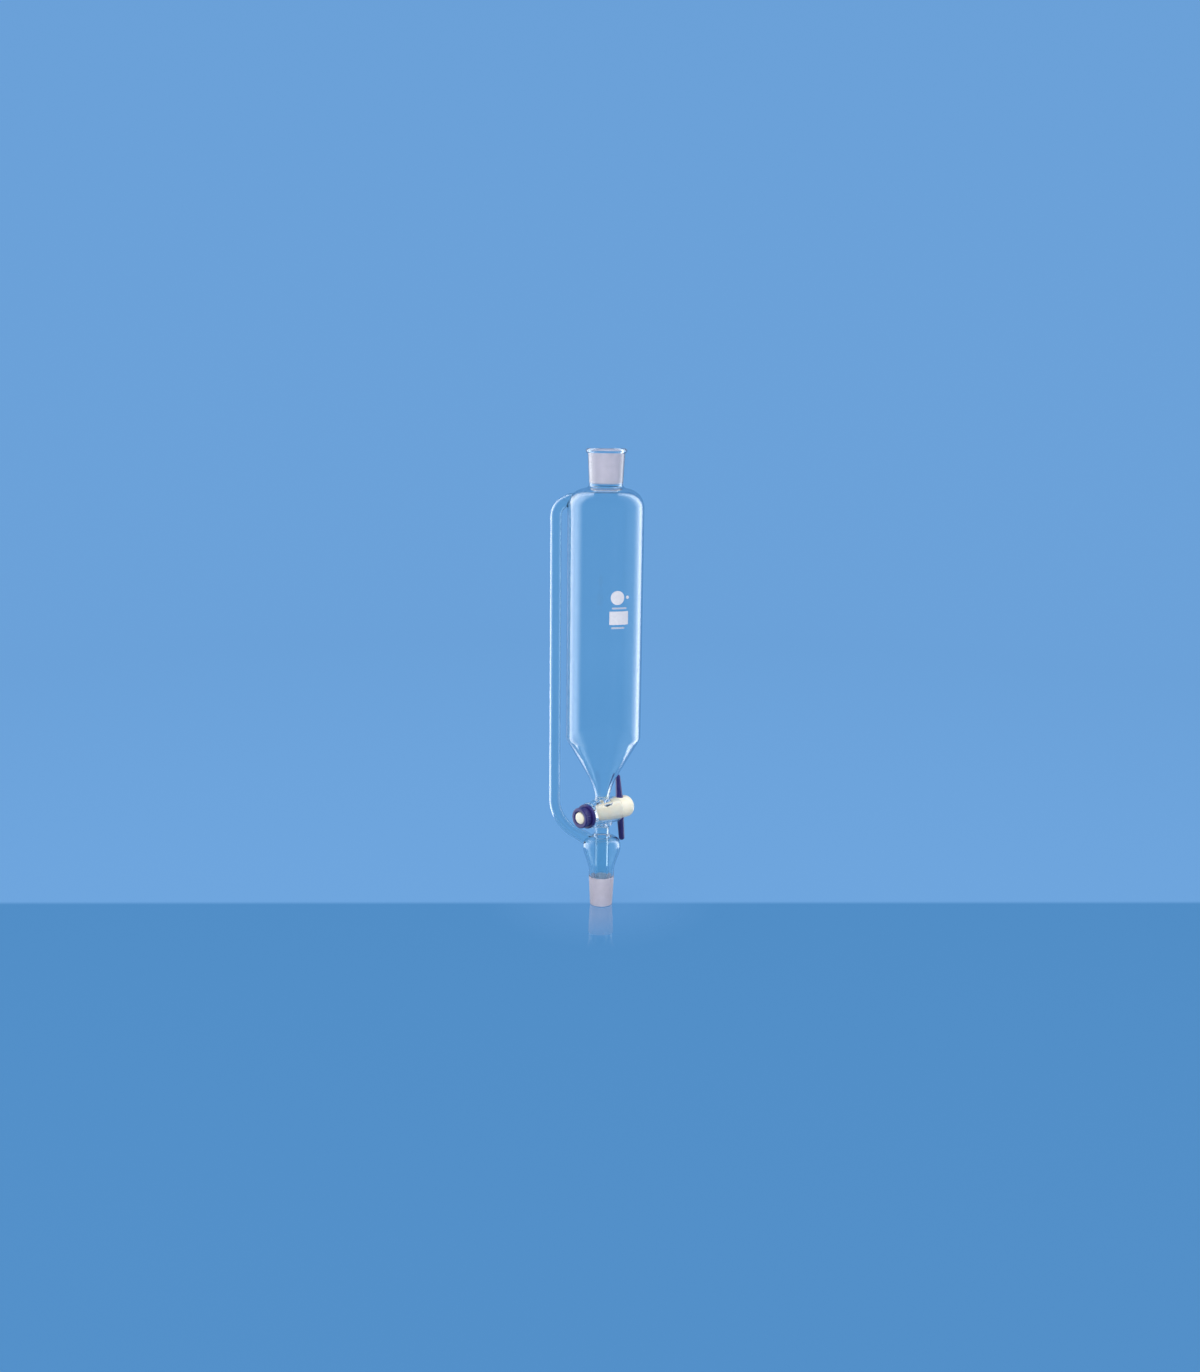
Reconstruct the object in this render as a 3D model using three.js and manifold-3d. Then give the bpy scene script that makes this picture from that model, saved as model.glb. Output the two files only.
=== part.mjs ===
// A pressure-equalising dropping funnel: a cylindrical separating vessel with a ground socket on
// top, a stopcock with a plastic key below, a drip tube inside a vapour bulb, a ground cone at the
// foot, and a side arm that joins the bulb to the vessel's shoulder.
//
// Millimetres, +Z up. The origin is the centre of the ground cone's lower end. The side arm lies
// towards -X. The stopcock's axis is level, with its lever towards +X and +Y and its nut opposite.

import * as THREE from "three";
import { mergeVertices } from "three/addons/utils/BufferGeometryUtils.js";
import Module from "manifold-3d";

const wasm = await Module();
wasm.setup();

// ---- Driving dimensions -------------------------------------------------------------------

const OVERRUN = 1; // how far a cut runs past the end of what it cuts
const WELD = 0.01; // corners of a cut piece closer than this are one corner
const GAP = 0.3; // left between two faces where one was cut to fit the other
const ROUND = 40; // flat sides around the funnel's axis
const FINE_ROUND = 28; // flat sides around the stopcock's axis

// The two ground joints taper by 1:10 on diameter.
const SOCKET = { lowZ: 398, topZ: 430, lowBore: 13, topBore: 14.6, lowRadius: 15.5, radius: 16.8 };
const BEAD = { centre: 16.5, z: 427.75, radius: 2.25, wallZ: 424.6 }; // the socket's rolled rim
const CONE = { topZ: 29, lowRadius: 10.55, topRadius: 12, wall: 2, bevel: 0.45 };

// The vessel, from the stem's seam up to the socket.
const BODY = { radius: 35, wall: 2.2, seamZ: 106, coneZ: 163.2, corner: 9 };
const CONE_ANGLE = Math.PI / 6;
const THROAT = { centre: 66.2, z: 97.3, radius: 60 }; // the hollow sweep from the stem to the cone
const SHOULDER = { radius: 18, z: 376.8, reach: (77 * Math.PI) / 180 };
const NECK_FILLET = 3;

// The stopcock. Places along its axis are measured from the funnel's axis, towards the lever.
const AXIS_Z = 91;
const AXIS_TURN = Math.PI / 4;
const BARREL = { half: 17.5, radius: 12.3, rounding: 0.9, nutBore: 6.25, headBore: 9.75 };
const UPPER_STEM = { bore: 4.6, radius: 6.83, flareZ: 101, flareRadius: 8.6 };
const LOWER_STEM = { z: 71, bore: 4.9, radius: 7, flareZ: 81.5, flareRadius: 8.4 };
const PORT = { radius: 2.6, reach: 11.5, funnel: 3 };
const KEY_PLAY = 0.15;
const KEY_BORE = 2;
const KEY_TILT = Math.PI / 30; // the key stands a little short of fully open
const HEAD = { radius: 10.35, start: 17.9, end: 35.5, rounding: 3.4 };
const TAIL = { radius: 5.8, end: -30.2, chamfer: 0.8 };
const LEVER = { at: 24, half: 32, middle: 3.7, topTip: 2.3, lowTip: 2.8, rounding: 1.2, sides: 16 };
const WASHER = { start: -18.7, end: -17.8, radius: 8.8 };
const O_RING = { at: -20, ring: 7.5, section: 1, sides: 8 };
const COLLAR = { start: -22.3, floor: -21.3, end: -18.9, radius: 11.5, cup: 9.1, rounding: 0.5 };
const NUT = { start: -30.2, end: -22.6, radius: 9.7, flutes: 12, fluteDepth: 0.4, steps: 6 };
const THREAD_PLAY = 0.25; // between the key's tail and the rings on it

// The drip tube, the vapour bulb and the side arm.
const DRIP = { taperZ: 24, tipZ: 7, tipRadius: 4.4, tipBore: 2.8 };
const BULB = { radius: 18, z: 58.5, wall: 1.8, centre: 11, rise: 8.4, neckRadius: 12, neckZ: 33, steps: 6 };
const BULB_SEAL = { reach: (75 * Math.PI) / 180, z: 68.4, radius: 9.2, topRadius: 8.9 };
const ARM = { x: -45, radius: 5.25, bore: 4.05, topZ: 369, lowZ: 104, halfSides: 8 };
const ARM_TOP = { bend: 14, turn: (70 * Math.PI) / 180, run: 18, steps: 7 };
const ARM_LOW = { bend: 38, turn: (62 * Math.PI) / 180, run: 15.5, steps: 10 };

// The white enamel marks on the vessel, placed by the angle from -Y towards +X.
const MARK = { lift: 0.05, thickness: 0.35, steps: 8 };
const PATCH = { turn: 21.7, width: 18, height: 12, z: 280.8 };
const UPPER_BAR = { turn: 22, width: 14, height: 1.6, z: 289.6 };
const LOWER_BAR = { turn: 20, width: 12.5, height: 1.6, z: 271.9 };
const DISC = { turn: 19, radius: 6.3, z: 299, sides: 28 };
const DOT = { turn: 35, radius: 1.5, z: 299.3, sides: 14 };

// ---- Materials ----------------------------------------------------------------------------

function glass(color, roughness, opacity) {
  return new THREE.MeshStandardMaterial({ color, roughness, metalness: 0, transparent: true, opacity });
}

function opaque(color, roughness) {
  return new THREE.MeshStandardMaterial({ color, roughness, metalness: 0 });
}

const clearGlass = glass(0xdcebf5, 0.03, 0.35);
const groundGlass = glass(0xe6e8ec, 0.6, 0.85);
const ptfe = opaque(0xf1ebe0, 0.45);
const bluePlastic = opaque(0x2b2a66, 0.35);
const rubber = opaque(0x16181c, 0.7);
const enamel = opaque(0xf4f6fa, 0.4);

// ---- Tools for making shapes --------------------------------------------------------------

// A closed geometry as a manifold-3d solid.
function solidOf(geometry) {
  const bare = geometry.index ? geometry.toNonIndexed() : geometry.clone();
  for (const name of Object.keys(bare.attributes)) {
    if (name !== "position") bare.deleteAttribute(name);
  }
  const merged = mergeVertices(bare, 1e-4);
  return new wasm.Manifold(
    new wasm.Mesh({
      numProp: 3,
      vertProperties: new Float32Array(merged.attributes.position.array),
      triVerts: new Uint32Array(merged.index.array),
    }),
  );
}

// A manifold-3d solid as a three.js geometry, without the slivers that a cut can leave.
function geometryOf(solid) {
  const mesh = solid.getMesh();
  const places = new Float32Array(mesh.vertProperties);
  const geometry = new THREE.BufferGeometry();
  geometry.setAttribute("position", new THREE.BufferAttribute(places, mesh.numProp));
  geometry.setIndex(new THREE.BufferAttribute(new Uint32Array(mesh.triVerts), 1));
  const welded = mergeVertices(geometry, WELD);
  const corners = welded.index.array;
  const kept = [];
  for (let i = 0; i < corners.length; i += 3) {
    const [a, b, c] = corners.slice(i, i + 3);
    if (a !== b && b !== c && c !== a) kept.push(a, b, c);
  }
  welded.setIndex(kept);
  welded.computeVertexNormals();
  return welded;
}

// Points along an arc in the plane of radius and height. Angles grow from outwards towards +Z.
function arc(centre, z, radius, from, to, steps) {
  return Array.from({ length: steps + 1 }, (_, i) => {
    const angle = from + ((to - from) * i) / steps;
    return [centre + radius * Math.cos(angle), z + radius * Math.sin(angle)];
  });
}

// A body of revolution about +Z from a closed outline that goes up on the outside.
function revolved(outline, sides) {
  const points = [...outline, outline[0]].map(([r, z]) => new THREE.Vector2(r, z));
  return new THREE.LatheGeometry(points, sides).rotateX(Math.PI / 2);
}

// A wall of revolution between two outlines that both go up.
function wall(outside, inside, sides) {
  return revolved([...outside, ...inside.reverse()], sides);
}

// A filled body of revolution inside an outline that goes up.
function filled(outline, sides) {
  const low = outline[0][1];
  const top = outline[outline.length - 1][1];
  return revolved([[0, low], ...outline, [0, top]], sides);
}

// Lays a shape that was made along +Z on the stopcock's axis.
function onAxis(geometry) {
  return geometry.rotateY(Math.PI / 2).rotateZ(AXIS_TURN).translate(0, 0, AXIS_Z);
}

function node(name, geometry, material) {
  const mesh = new THREE.Mesh(geometry, material);
  mesh.name = name;
  return mesh;
}

// ---- Outlines that more than one piece needs ----------------------------------------------

// The vessel's face at a depth inside the outer face of its glass, in the sections it is made of.
function vesselSections(depth) {
  const sweep = THROAT.radius + depth;
  const start = Math.asin((BODY.seamZ - THROAT.z) / sweep);
  const cornerZ = BODY.coneZ + BODY.corner * Math.tan(CONE_ANGLE / 2);
  const shoulderX = BODY.radius - SHOULDER.radius;
  const neckX = SOCKET.lowRadius + NECK_FILLET;
  const neckTurn = Math.PI + SHOULDER.reach;
  return {
    cone: [
      ...arc(THROAT.centre, THROAT.z, sweep, Math.PI - start, Math.PI - CONE_ANGLE, 5),
      ...arc(BODY.radius - BODY.corner, cornerZ, BODY.corner - depth, -CONE_ANGLE, 0, 3),
    ],
    cylinder: [[BODY.radius - depth, cornerZ], [BODY.radius - depth, SHOULDER.z]],
    shoulder: [
      ...arc(shoulderX, SHOULDER.z, SHOULDER.radius - depth, 0, SHOULDER.reach, 7),
      ...arc(neckX, SOCKET.lowZ, NECK_FILLET + depth, neckTurn, Math.PI, 3),
    ],
  };
}

// The vapour bulb's face at a depth inside its outer face, up to where its dome meets the seal.
function bulbOutline(depth) {
  const swell = Array.from({ length: BULB.steps + 1 }, (_, i) => {
    const share = i / BULB.steps;
    const reach = ((BULB.radius - BULB.neckRadius) * (1 - Math.cos(Math.PI * share))) / 2;
    return [BULB.neckRadius - depth + reach, BULB.neckZ + (BULB.z - BULB.neckZ) * share];
  });
  const dome = arc(0, 0, 1, 0, BULB_SEAL.reach, BULB.steps).slice(1).map(([x, z]) => [
    BULB.centre + (BULB.radius - BULB.centre - depth) * x,
    BULB.z + (BULB.rise - depth) * z,
  ]);
  return [[BULB.neckRadius - depth, CONE.topZ], ...swell, ...dome];
}

// The side arm's centre line: in from the vessel's shoulder, down, and in to the vapour bulb.
function armPoints() {
  const topCentre = [ARM.x + ARM_TOP.bend, ARM.topZ];
  const lowCentre = [ARM.x + ARM_LOW.bend, ARM.lowZ];
  const topTurn = Math.PI - ARM_TOP.turn;
  const lowTurn = Math.PI + ARM_LOW.turn;
  const top = arc(...topCentre, ARM_TOP.bend, topTurn, Math.PI, ARM_TOP.steps);
  const low = arc(...lowCentre, ARM_LOW.bend, Math.PI, lowTurn, ARM_LOW.steps);
  const [topX, topZ] = top[0];
  const [lowX, lowZ] = low[low.length - 1];
  const start = [topX + ARM_TOP.run * Math.sin(topTurn), topZ - ARM_TOP.run * Math.cos(topTurn)];
  const end = [lowX - ARM_LOW.run * Math.sin(lowTurn), lowZ + ARM_LOW.run * Math.cos(lowTurn)];
  return [start, ...top, ...low, end].map(([x, z]) => new THREE.Vector3(x, 0, z));
}

// A path through points, with one step of an extrusion from each point to the next.
class PointPath extends THREE.Curve {
  constructor(points) {
    super();
    this.points = points;
  }

  getPoint(t, target = new THREE.Vector3()) {
    const place = t * (this.points.length - 1);
    const i = Math.min(Math.floor(place), this.points.length - 2);
    return target.lerpVectors(this.points[i], this.points[i + 1], place - i);
  }

  getPointAt(u, target) {
    return this.getPoint(u, target);
  }

  getTangentAt(u, target) {
    return this.getTangent(u, target);
  }
}

// A round rod along the side arm's centre line.
function armRod(radius) {
  const section = new THREE.Shape().absarc(0, 0, radius, 0, 2 * Math.PI);
  const points = armPoints();
  return new THREE.ExtrudeGeometry(section, {
    extrudePath: new PointPath(points),
    steps: points.length - 1,
    curveSegments: ARM.halfSides,
  });
}

const armBore = solidOf(armRod(ARM.bore));

// ---- The fused glass ----------------------------------------------------------------------

function topSocket() {
  const outside = [
    [SOCKET.lowRadius, SOCKET.lowZ],
    [SOCKET.radius, BEAD.wallZ],
    ...arc(BEAD.centre, BEAD.z, BEAD.radius, (-5 * Math.PI) / 12, Math.PI / 2, 6),
  ];
  const inside = [[SOCKET.lowBore, SOCKET.lowZ], [SOCKET.topBore, SOCKET.topZ]];
  return node("top_socket", wall(outside, inside, ROUND), groundGlass);
}

function vessel() {
  const outside = vesselSections(0);
  const inside = vesselSections(BODY.wall);
  const shoulder = solidOf(wall(outside.shoulder, inside.shoulder, ROUND)).subtract(armBore);
  return [
    node("vessel_shoulder", geometryOf(shoulder), clearGlass),
    node("vessel_cylinder", wall(outside.cylinder, inside.cylinder, ROUND), clearGlass),
    node("vessel_cone", wall(outside.cone, inside.cone, ROUND), clearGlass),
  ];
}

function sideArm() {
  const { cone, shoulder } = vesselSections(-GAP);
  const vesselRoom = solidOf(filled([...cone, ...shoulder], ROUND));
  const bulbRoom = solidOf(filled([...bulbOutline(-GAP), ...sealOutline(GAP)], ROUND));
  const tube = solidOf(armRod(ARM.radius)).subtract(armBore);
  return node("side_arm", geometryOf(tube.subtract(vesselRoom).subtract(bulbRoom)), clearGlass);
}

// The ring seal's outer face, where the vapour bulb closes on the stem.
function sealOutline(swell) {
  return [
    [BULB_SEAL.radius + swell, BULB_SEAL.z],
    [BULB_SEAL.topRadius + swell, LOWER_STEM.z],
  ];
}

function vapourBulb() {
  const innerDome = bulbOutline(BULB.wall);
  const neck = LOWER_STEM.radius + GAP;
  const inside = [...innerDome, [neck, BULB_SEAL.z - BULB.wall], [neck, LOWER_STEM.z]];
  const shell = solidOf(wall([...bulbOutline(0), ...sealOutline(0)], inside, ROUND));
  return node("vapour_bulb", geometryOf(shell.subtract(armBore)), clearGlass);
}

function dripTube() {
  const outside = [
    [DRIP.tipRadius, DRIP.tipZ],
    [LOWER_STEM.radius, DRIP.taperZ],
    [LOWER_STEM.radius, LOWER_STEM.z],
  ];
  const inside = [
    [DRIP.tipBore, DRIP.tipZ],
    [LOWER_STEM.bore, DRIP.taperZ],
    [LOWER_STEM.bore, LOWER_STEM.z],
  ];
  return node("drip_tube", wall(outside, inside, FINE_ROUND), clearGlass);
}

function groundCone() {
  const outside = [
    [CONE.lowRadius - CONE.bevel, 0],
    [CONE.lowRadius, CONE.bevel],
    [CONE.topRadius, CONE.topZ],
  ];
  const inside = [[CONE.lowRadius - CONE.wall, 0], [CONE.topRadius - CONE.wall, CONE.topZ]];
  return node("ground_cone", wall(outside, inside, ROUND), groundGlass);
}

function stopcockBarrel() {
  const inset = BARREL.radius - BARREL.rounding;
  const straight = BARREL.half - BARREL.rounding;
  const outside = [
    ...arc(inset, -straight, BARREL.rounding, -Math.PI / 2, 0, 3),
    ...arc(inset, straight, BARREL.rounding, 0, Math.PI / 2, 3),
  ];
  const growth = (OVERRUN * (BARREL.headBore - BARREL.nutBore)) / (2 * BARREL.half);
  const inside = [
    [BARREL.nutBore - growth, -BARREL.half - OVERRUN],
    [BARREL.headBore + growth, BARREL.half + OVERRUN],
  ];
  const upperStem = filled([
    [UPPER_STEM.flareRadius, AXIS_Z],
    [UPPER_STEM.flareRadius, UPPER_STEM.flareZ],
    [UPPER_STEM.radius, BODY.seamZ],
  ], FINE_ROUND);
  const lowerStem = filled([
    [LOWER_STEM.radius, LOWER_STEM.z],
    [LOWER_STEM.radius, LOWER_STEM.flareZ - PORT.funnel],
    [LOWER_STEM.flareRadius, LOWER_STEM.flareZ],
    [LOWER_STEM.flareRadius, AXIS_Z],
  ], FINE_ROUND);
  const ports = filled([
    [LOWER_STEM.bore, LOWER_STEM.z - OVERRUN],
    [LOWER_STEM.bore, AXIS_Z - PORT.reach - PORT.funnel],
    [PORT.radius, AXIS_Z - PORT.reach],
    [PORT.radius, AXIS_Z + PORT.reach],
    [UPPER_STEM.bore, BODY.seamZ],
    [UPPER_STEM.bore, BODY.seamZ + OVERRUN],
  ], FINE_ROUND);
  const solid = solidOf(onAxis(filled(outside, FINE_ROUND)))
    .add(solidOf(upperStem))
    .add(solidOf(lowerStem))
    .subtract(solidOf(onAxis(filled(inside, FINE_ROUND))))
    .subtract(solidOf(ports));
  return node("stopcock_barrel", geometryOf(solid), clearGlass);
}

// ---- The stopcock's key and what is on it -------------------------------------------------

function stopcockKey() {
  const plugEnd = HEAD.end - HEAD.rounding;
  const outline = [
    [TAIL.radius - TAIL.chamfer, TAIL.end],
    [TAIL.radius, TAIL.end + TAIL.chamfer],
    [TAIL.radius, -BARREL.half],
    [BARREL.nutBore - KEY_PLAY, -BARREL.half],
    [BARREL.headBore - KEY_PLAY, BARREL.half],
    [BARREL.headBore - KEY_PLAY, HEAD.start],
    [HEAD.radius, HEAD.start],
    ...arc(HEAD.radius - HEAD.rounding, plugEnd, HEAD.rounding, 0, Math.PI / 2, 5),
  ];
  const bore = filled([[KEY_BORE, -BARREL.radius], [KEY_BORE, BARREL.radius]], FINE_ROUND);
  const room = LEVER.middle + GAP;
  const hole = filled([[room, -BARREL.radius], [room, BARREL.radius]], LEVER.sides);
  const solid = solidOf(onAxis(filled(outline, FINE_ROUND)))
    .subtract(solidOf(onKey(bore, 0)))
    .subtract(solidOf(onKey(hole, LEVER.at)));
  return node("stopcock_key", geometryOf(solid), ptfe);
}

// Tilts an upright shape with the key and moves it to a place along the stopcock's axis.
function onKey(geometry, place) {
  return geometry.rotateX(-KEY_TILT).translate(place, 0, AXIS_Z).rotateZ(AXIS_TURN);
}

function keyLever() {
  const straight = LEVER.half - LEVER.rounding;
  const outline = [
    ...arc(LEVER.lowTip - LEVER.rounding, -straight, LEVER.rounding, -Math.PI / 2, 0, 3),
    [LEVER.middle, -HEAD.radius],
    [LEVER.middle, HEAD.radius],
    ...arc(LEVER.topTip - LEVER.rounding, straight, LEVER.rounding, 0, Math.PI / 2, 3),
  ];
  return node("key_lever", onKey(filled(outline, LEVER.sides), LEVER.at), bluePlastic);
}

function sealWasher() {
  const bore = TAIL.radius + THREAD_PLAY;
  const outside = [[WASHER.radius, WASHER.start], [WASHER.radius, WASHER.end]];
  const inside = [[bore, WASHER.start], [bore, WASHER.end]];
  return node("seal_washer", onAxis(wall(outside, inside, FINE_ROUND)), ptfe);
}

function sealRing() {
  const section = arc(O_RING.ring, O_RING.at, O_RING.section, 0, 2 * Math.PI, O_RING.sides);
  return node("seal_o_ring", onAxis(revolved(section.slice(0, -1), FINE_ROUND)), rubber);
}

// A shallow cup that presses the O-ring towards the barrel.
function pressureCollar() {
  const bore = TAIL.radius + THREAD_PLAY;
  const inset = COLLAR.radius - COLLAR.rounding;
  const outside = [
    ...arc(inset, COLLAR.start + COLLAR.rounding, COLLAR.rounding, -Math.PI / 2, 0, 3),
    ...arc(inset, COLLAR.end - COLLAR.rounding, COLLAR.rounding, 0, Math.PI / 2, 3),
  ];
  const inside = [
    [bore, COLLAR.start],
    [bore, COLLAR.floor],
    [COLLAR.cup, COLLAR.floor],
    [COLLAR.cup, COLLAR.end],
  ];
  return node("pressure_collar", onAxis(wall(outside, inside, FINE_ROUND)), bluePlastic);
}

function tensionNut() {
  const count = NUT.flutes * NUT.steps;
  const rim = Array.from({ length: count }, (_, i) => {
    const angle = (2 * Math.PI * i) / count;
    const radius = NUT.radius - (NUT.fluteDepth * (1 - Math.cos(NUT.flutes * angle))) / 2;
    return new THREE.Vector2(radius * Math.cos(angle), radius * Math.sin(angle));
  });
  const section = new THREE.Shape(rim);
  section.holes.push(new THREE.Path().absarc(0, 0, TAIL.radius + THREAD_PLAY, 0, 2 * Math.PI));
  const body = new THREE.ExtrudeGeometry(section, {
    depth: NUT.end - NUT.start,
    bevelEnabled: false,
    curveSegments: FINE_ROUND / 2,
  });
  return node("tension_nut", onAxis(body.translate(0, 0, NUT.start)), bluePlastic);
}

// ---- The enamel marks ---------------------------------------------------------------------

// A thin plate that follows the vessel's round face.
function plate({ turn, width, height, z }) {
  const inner = BODY.radius + MARK.lift;
  const outer = inner + MARK.thickness;
  const half = width / 2 / BODY.radius;
  const middle = ((turn - 90) * Math.PI) / 180;
  const edge = (radius, from, to) => arc(0, 0, radius, from, to, MARK.steps);
  const rim = [...edge(outer, middle - half, middle + half), ...edge(inner, middle + half, middle - half)];
  const section = new THREE.Shape(rim.map(([x, y]) => new THREE.Vector2(x, y)));
  return new THREE.ExtrudeGeometry(section, { depth: height, bevelEnabled: false })
    .translate(0, 0, z - height / 2);
}

// A round mark: the plate's part inside a bar that points at the funnel's axis.
function roundMark({ turn, radius, z, sides }) {
  const bar = filled([[radius, 0], [radius, 2 * BODY.radius]], sides)
    .rotateX(Math.PI / 2)
    .rotateZ((turn * Math.PI) / 180)
    .translate(0, 0, z);
  const square = plate({ turn, width: 3 * radius, height: 3 * radius, z });
  return geometryOf(solidOf(square).intersect(solidOf(bar)));
}

function marks() {
  return [
    node("mark_patch", plate(PATCH), enamel),
    node("upper_mark_bar", plate(UPPER_BAR), enamel),
    node("lower_mark_bar", plate(LOWER_BAR), enamel),
    node("mark_disc", roundMark(DISC), enamel),
    node("mark_dot", roundMark(DOT), enamel),
  ];
}

// ---- The assembly -------------------------------------------------------------------------

const funnel = new THREE.Group();
funnel.add(topSocket(), ...vessel(), sideArm(), vapourBulb(), dripTube(), groundCone());
funnel.add(...marks());

const stopcock = new THREE.Group();
stopcock.add(stopcockBarrel(), stopcockKey(), keyLever());
stopcock.add(sealWasher(), sealRing(), pressureCollar(), tensionNut());
funnel.add(stopcock);

export default funnel;
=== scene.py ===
"""The looks of a pressure-equalising dropping funnel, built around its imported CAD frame.

The glass is one fused piece: bodies of revolution and a bent tube are joined into its outer form,
and the hollows are cut out of that. The stopcock's key, lever, washer, O-ring, collar and nut are
pieces of their own and ride on the bodies that move. Everything is in metres, +Z up.
"""
import math

import bmesh
import bpy
from mathutils import Matrix, Vector


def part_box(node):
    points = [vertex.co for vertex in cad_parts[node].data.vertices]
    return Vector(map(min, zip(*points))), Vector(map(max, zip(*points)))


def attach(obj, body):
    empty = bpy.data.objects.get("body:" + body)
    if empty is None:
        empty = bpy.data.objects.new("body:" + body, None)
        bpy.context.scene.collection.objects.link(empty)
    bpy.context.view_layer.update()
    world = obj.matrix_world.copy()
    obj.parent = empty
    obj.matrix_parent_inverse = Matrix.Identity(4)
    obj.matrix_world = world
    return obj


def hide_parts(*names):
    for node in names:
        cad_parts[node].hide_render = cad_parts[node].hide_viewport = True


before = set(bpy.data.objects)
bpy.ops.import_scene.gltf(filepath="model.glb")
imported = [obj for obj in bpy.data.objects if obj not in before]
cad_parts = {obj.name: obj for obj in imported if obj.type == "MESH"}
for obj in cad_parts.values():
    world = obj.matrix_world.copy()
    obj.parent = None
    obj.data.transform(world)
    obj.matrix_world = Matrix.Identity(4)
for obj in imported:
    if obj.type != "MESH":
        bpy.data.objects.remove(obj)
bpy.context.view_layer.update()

X, Y, Z = range(3)


def low(node, axis):
    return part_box(node)[0][axis]


def high(node, axis):
    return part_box(node)[1][axis]


# ---- Dimensions, from the frame where it shows them ------------------------------------------

RIM_Z = high("top_socket", Z)
NECK_Z = low("top_socket", Z)
BEAD_RADIUS = high("top_socket", X)
BODY_RADIUS = high("vessel_cylinder", X)
SEAM_Z = low("vessel_cone", Z)
BULB_RADIUS = high("vapour_bulb", X)
CONE_TOP_Z = high("ground_cone", Z)
CONE_RADIUS = high("ground_cone", X)
STEM_RADIUS = high("drip_tube", X)
TIP_Z = low("drip_tube", Z)
ARM_RADIUS = high("side_arm", Y)
ARM_X = low("side_arm", X) + ARM_RADIUS
HEAD_RADIUS = (high("stopcock_key", Z) - low("stopcock_key", Z)) / 2
AXIS_Z = (high("stopcock_key", Z) + low("stopcock_key", Z)) / 2
COLLAR_RADIUS = (high("pressure_collar", Z) - low("pressure_collar", Z)) / 2
NUT_RADIUS = (high("tension_nut", Z) - low("tension_nut", Z)) / 2

# The ground joints.
SOCKET_BORE = (0.0130, 0.0146)
SOCKET_OUTSIDE = (0.0155, 0.0168)
BEAD_SECTION = 0.00225
SOCKET_GROUND = (0.0012, 0.0030)  # clear bands below and above the socket's ground part
CONE_GROUND = (0.0004, 0.0006)
CONE_FOOT = 0.01055
CONE_WALL = 0.0020

# The vessel.
BODY_WALL = 0.0022
CONE_CORNER_Z = 0.1632
CORNER_ROUNDING = 0.009
CONE_ANGLE = math.radians(30)
THROAT = (0.0662, 0.0973, 0.060)  # centre radius, centre height and radius of the throat's sweep
SHOULDER_ROUNDING = 0.018
SHOULDER_Z = 0.3768
SHOULDER_REACH = math.radians(77)
NECK_FILLET = 0.003

# The stopcock. Places along its axis run from the funnel's axis towards the lever.
AXIS_TURN = math.radians(45)
BARREL_HALF = 0.0175
BARREL_RADIUS = 0.0123
BARREL_BORE = (0.00625, 0.00975)
BARREL_ROUNDING = 0.0014
STEM_BORE = 0.0049
THROAT_BORE = 0.0046
PORT_RADIUS = 0.0026
KEY_PLAY = 0.00015

# The vapour bulb, the drip tube and the side arm.
BULB_WALL = 0.0018
BULB_Z = 0.0585
BULB_NECK_Z = 0.033
DOME_CENTRE = 0.011
DOME_RISE = 0.0084
DOME_REACH = math.radians(75)
SEAL_Z = high("vapour_bulb", Z)
ARM_BORE = 0.00405
ARM_TOP_Z = 0.369
ARM_LOW_Z = 0.104
ARM_TOP_BEND = (0.014, math.radians(70))
ARM_LOW_BEND = (0.038, math.radians(62))
ARM_TOP_RUN = 0.018
ARM_LOW_RUN = 0.0155

ROUND = 128  # sides round the funnel's axis
FINE_ROUND = 96  # sides round the stopcock's axis
TUBE_ROUND = 48  # sides round the side arm
LEVER_ROUND = 48  # sides round the lever and the key's bore
NUT_ROUND = 192  # sides round the fluted nut


# ---- Outlines and meshes ---------------------------------------------------------------------

def arc(centre, z, radius, start, end, steps):
    """Points [radius, height] on an arc, with angles in radians from outwards towards +Z."""
    angles = [start + (end - start) * i / steps for i in range(steps + 1)]
    return [(centre + radius * math.cos(a), z + radius * math.sin(a)) for a in angles]


def revolved(name, outline, sides=ROUND, place=None, swell=None):
    """A closed mesh round Z from an outline that ends on the axis or closes on itself.

    swell(radius, height, angle) gives the radius at each corner, for flutes and threads.
    """
    mesh = bmesh.new()
    rings = []
    for radius, height in outline:
        if radius == 0:
            rings.append([mesh.verts.new((0, 0, height))] * sides)
            continue
        ring = []
        for i in range(sides):
            angle = 2 * math.pi * i / sides
            reach = swell(radius, height, angle) if swell else radius
            ring.append(mesh.verts.new((reach * math.cos(angle), reach * math.sin(angle), height)))
        rings.append(ring)
    if outline[0][0] > 0:
        rings.append(rings[0])
    for lower, upper in zip(rings, rings[1:]):
        for i in range(sides):
            j = (i + 1) % sides
            corners = list(dict.fromkeys([lower[i], lower[j], upper[j], upper[i]]))
            if len(corners) > 2:
                mesh.faces.new(corners)
    return finished(name, mesh, place)


def finished(name, mesh, place=None):
    """Turns a bmesh into an object with smooth faces that look outwards."""
    bmesh.ops.recalc_face_normals(mesh, faces=mesh.faces)
    if place is not None:
        mesh.transform(place)
    data = bpy.data.meshes.new(name)
    mesh.to_mesh(data)
    mesh.free()
    data.shade_smooth()
    thing = bpy.data.objects.new(name, data)
    bpy.context.scene.collection.objects.link(thing)
    return thing


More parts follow.
